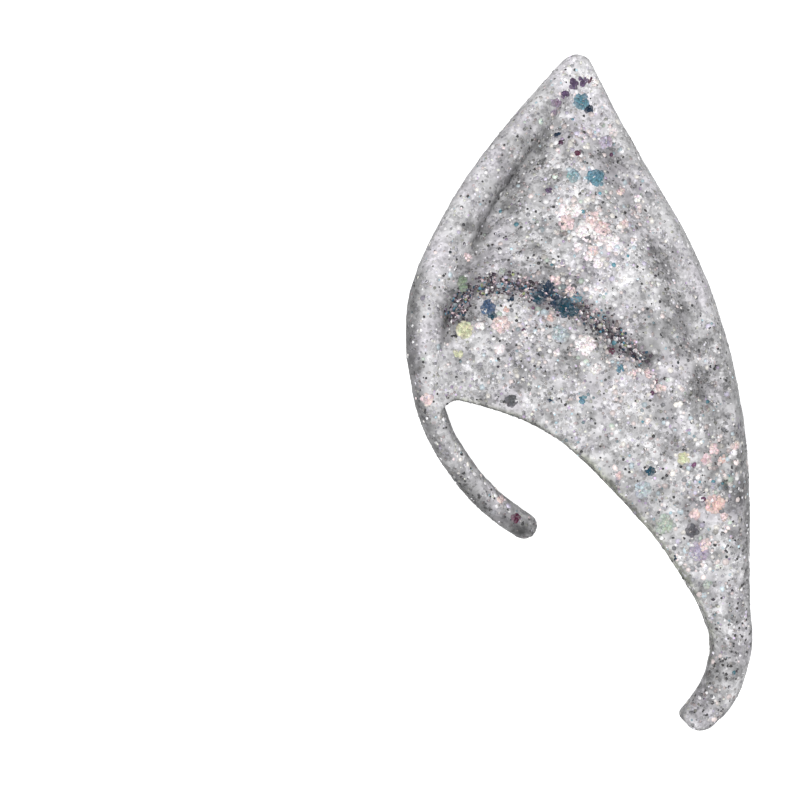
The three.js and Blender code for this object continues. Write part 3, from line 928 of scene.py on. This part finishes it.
def make_fold_flakes(surface, random):
    """The small dark and coloured flakes that gathered in the fold, laid on the face below its line."""
    corners = np.array(FOLD_LINE)
    along = np.interp(random.random(FOLD_FLAKES), [0, 1], [0, len(corners) - 1])
    steps = np.arange(len(corners))
    spots = np.stack([np.interp(along, steps, corners[:, axis]) for axis in range(2)], axis=1)
    spots += FOLD_SPREAD * random.normal(size=spots.shape)
    found = [surface.below(x * MM, y * MM) for x, y in spots]
    places = np.array([place for place, _ in found])
    normals = np.array([normal for _, normal in found])
    widths = random.uniform(*FOLD_WIDTHS, FOLD_FLAKES) * MM
    colours = picked(FOLD_COLOURS, FOLD_FLAKES, random)
    colours = colours * random.uniform(*FOLD_SHADES, (FOLD_FLAKES, 1))
    piece = plates("fold_flakes", FOLD_PLATE, places, normals, widths, colours, random)
    add_piece(piece, foil_material("fold_foil", 0.0, 0.3))


# Studio


FLOOR_REACH = 3.0
FLOOR_COLOUR = (0.9, 0.9, 0.9, 1)
FLOOR_ROUGHNESS = 0.9
FLOOR_GLOW = 0.5  # so that hardly a shadow shows
WORLD_COLOUR = (0.97, 0.98, 1.0, 1)
WORLD_STRENGTH = 0.6
KEY_PLACE = (-0.08, -0.1, 1.0)
KEY_SIZE = 0.9
KEY_POWER = 10


def make_floor():
    reach = FLOOR_REACH
    corners = [(-reach, -reach, 0), (reach, -reach, 0), (reach, reach, 0), (-reach, reach, 0)]
    mesh = bpy.data.meshes.new("floor")
    mesh.from_pydata(corners, [], [(0, 1, 2, 3)])
    floor = bpy.data.objects.new("floor", mesh)
    bpy.context.scene.collection.objects.link(floor)
    material, _, shader = new_material("pale_floor")
    shader.inputs["Base Color"].default_value = FLOOR_COLOUR
    shader.inputs["Roughness"].default_value = FLOOR_ROUGHNESS
    shader.inputs["Emission Color"].default_value = (1, 1, 1, 1)
    shader.inputs["Emission Strength"].default_value = FLOOR_GLOW
    mesh.materials.append(material)


def area_light(name, place, size, power):
    """A round soft lamp that shines at the ear."""
    lamp = bpy.data.lights.new(name, "AREA")
    lamp.shape = "DISK"
    lamp.size = size
    lamp.energy = power
    light = bpy.data.objects.new(name, lamp)
    light.location = place
    light.rotation_euler = (-Vector(place)).to_track_quat("-Z", "Y").to_euler()
    bpy.context.scene.collection.objects.link(light)


def make_studio():
    world = bpy.data.worlds.new("studio")
    world.use_nodes = True
    background = world.node_tree.nodes["Background"]
    background.inputs["Color"].default_value = WORLD_COLOUR
    background.inputs["Strength"].default_value = WORLD_STRENGTH
    bpy.context.scene.world = world
    bpy.context.scene.view_settings.view_transform = "Standard"
    area_light("key", KEY_PLACE, KEY_SIZE, KEY_POWER)


VIEW_CENTRE = (-31.7 * MM, -1.3 * MM)  # what lies under the middle of the picture
VIEW_WIDTH = 141.2 * MM  # what the picture takes in at the height of the face's middle
FACE_HEIGHT = 6 * MM
CAMERA_HEIGHT = 0.6
SENSOR = 36.0


def make_camera():
    data = bpy.data.cameras.new("camera")
    data.sensor_width = SENSOR
    data.lens = SENSOR * (CAMERA_HEIGHT - FACE_HEIGHT) / VIEW_WIDTH
    camera = bpy.data.objects.new("camera", data)
    camera.location = (*VIEW_CENTRE, CAMERA_HEIGHT)
    bpy.context.scene.collection.objects.link(camera)
    bpy.context.scene.camera = camera


make_camera()
make_studio()
make_floor()
random = np.random.default_rng(SEED)
casting, surface = make_casting()
add_piece(casting, latex_material())
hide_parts("ear_tip")
make_glitter(surface, random)
make_flakes(surface, random)
make_clusters(surface, random)
make_fold_flakes(surface, random)
